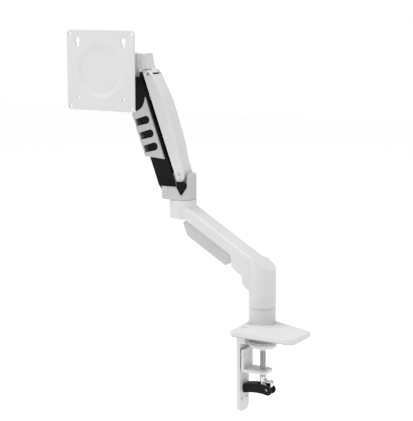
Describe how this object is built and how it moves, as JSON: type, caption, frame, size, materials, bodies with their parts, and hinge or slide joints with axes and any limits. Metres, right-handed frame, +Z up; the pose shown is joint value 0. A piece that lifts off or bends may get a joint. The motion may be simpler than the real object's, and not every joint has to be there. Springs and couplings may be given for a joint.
{
  "type": "monitor arm",
  "caption": "Spring-balanced desk arm for a screen: desk clamp with folding screw handle, swivelling lower arm, levelled upper arm with a cable comb and a square tilting screen plate.",
  "frame": {"origin": "on the column axis, at the underside of the base pad, which is the desk top", "axes": "+Z up; the arm lies in the XZ plane and reaches toward -X at rest; the screen plate faces -Y at rest; +X runs in over the desk from the clamp's back plate"},
  "size_m": [0.3508, 0.0853, 0.5132],
  "materials": {
    "white_paint": "satin white powder coat",
    "white_plastic": "fine matt white moulding",
    "grey_knuckle": "light grey satin paint",
    "grey_plastic": "light grey matt moulding",
    "black_plastic": "matt black moulding",
    "black_metal": "black coated metal",
    "steel": "brushed steel",
    "plated": "bright plating",
    "dark_steel": "oiled dark steel",
    "bearing_plastic": "plain bearing plastic",
    "rubber": "soft black rubber"
  },
  "bodies": {
    "base": {"base_plate": "white_paint", "base_pad": "rubber", "column_boss": "white_paint", "boss_screws": "dark_steel", "base_spindle": "steel", "clamp_block": "white_paint", "block_screws": "dark_steel", "clamp_back_plate": "white_paint", "jaw_spacer": "steel", "clamp_jaw": "white_paint", "jaw_bolts": "steel", "jaw_nut": "plated", "seam_washer": "bearing_plastic"},
    "disc": {"pressure_disc": "white_paint", "disc_pad": "rubber"},
    "screw": {"clamp_screw": "plated", "handle_yoke": "plated", "handle_pin": "steel"},
    "handle": {"clamp_handle": "black_plastic"},
    "lower_arm": {"lower_arm": "white_paint", "column_bush_low": "bearing_plastic", "column_bush_top": "bearing_plastic", "elbow_bush_low": "bearing_plastic", "elbow_bush_top": "bearing_plastic", "barrel_cap": "white_plastic", "cable_cover": "grey_plastic"},
    "knuckle": {"elbow_knuckle": "grey_knuckle", "elbow_spindle": "steel", "elbow_washer": "steel", "elbow_screw": "dark_steel", "lower_pivot_pin": "black_metal", "rod_pin": "steel", "knuckle_trim": "black_plastic"},
    "upper_link": {"upper_shell": "white_paint", "upper_pivot_pin": "steel", "head_pivot_pin": "steel", "pivot_spacers": "bearing_plastic", "spring_cylinder": "black_metal", "spring_anchor": "steel", "anchor_screw": "dark_steel"},
    "rod": {"spring_rod": "plated", "spring_piston": "bearing_plastic"},
    "lower_link": {"lower_shell": "black_plastic", "cable_comb": "grey_plastic"},
    "head_link": {"head_link": "black_metal", "lower_head_pin": "black_metal", "head_link_cover": "white_plastic", "head_spindle": "steel", "head_washer": "bearing_plastic", "head_screw": "dark_steel"},
    "head": {"head_block": "white_paint", "head_bush": "bearing_plastic", "head_cap": "white_plastic"},
    "tilt": {"tilt_yoke": "white_paint", "tilt_bolt": "dark_steel", "tilt_washers": "steel", "tilt_nut": "steel"},
    "plate": {"screen_plate": "white_paint", "plate_hub": "white_paint", "hub_rivets": "steel"}
  },
  "joints": [
    {"name": "base_swivel", "type": "hinge", "parent": "base", "child": "lower_arm", "pos_m": [0, 0, 0.03], "axis": [0, 0, 1], "range_deg": [-90, 90]},
    {"name": "elbow_swivel", "type": "hinge", "parent": "lower_arm", "child": "knuckle", "pos_m": [-0.1246, 0, 0.1695], "axis": [0, 0, 1], "range_deg": [-120, 120]},
    {"name": "arm_lift", "type": "hinge", "parent": "knuckle", "child": "upper_link", "pos_m": [-0.1229, 0, 0.2053], "axis": [0, -1, 0], "range_deg": [-6, 60]},
    {"name": "lower_link_turn", "type": "hinge", "parent": "knuckle", "child": "lower_link", "pos_m": [-0.144, 0, 0.193], "axis": [0, -1, 0], "range_deg": [-7, 61]},
    {"name": "spring_stroke", "type": "slide", "parent": "upper_link", "child": "rod", "axis": [-0.3451, 0, 0.9386], "range_m": [-0.0012, 0.0102]},
    {"name": "head_level", "type": "hinge", "parent": "upper_link", "child": "head_link", "pos_m": [-0.1729, 0, 0.3413], "axis": [0, -1, 0], "range_deg": [-61, 7]},
    {"name": "head_swivel", "type": "hinge", "parent": "head_link", "child": "head", "pos_m": [-0.217, 0, 0.3475], "axis": [0, 0, 1], "range_deg": [-180, 15]},
    {"name": "head_tilt", "type": "hinge", "parent": "head", "child": "tilt", "pos_m": [-0.217, -0.038, 0.3475], "axis": [1, 0, 0], "range_deg": [-25, 25]},
    {"name": "plate_turn", "type": "hinge", "parent": "tilt", "child": "plate", "pos_m": [-0.217, -0.058, 0.3475], "axis": [0, -1, 0], "range_deg": [-90, 90]},
    {"name": "clamp_rise", "type": "slide", "parent": "base", "child": "disc", "axis": [0, 0, 1], "range_m": [-0.022, 0.0006]},
    {"name": "screw_turn", "type": "hinge", "parent": "disc", "child": "screw", "pos_m": [0.016, -0.028, -0.03], "axis": [0, 0, 1], "range_deg": [-6340, 175]},
    {"name": "handle_fold", "type": "hinge", "parent": "screw", "child": "handle", "pos_m": [0.024, -0.028, -0.076], "axis": [0, -1, 0], "range_deg": [0, 85]}
  ],
  "couplings": [
    {"joint": "lower_link_turn", "follows": "arm_lift", "ratio": 1},
    {"joint": "head_level", "follows": "arm_lift", "ratio": -1},
    {"joint": "spring_stroke", "follows": "arm_lift", "m_per_rad": 0.00954},
    {"joint": "screw_turn", "follows": "clamp_rise", "rad_per_m": 5026.5}
  ]
}
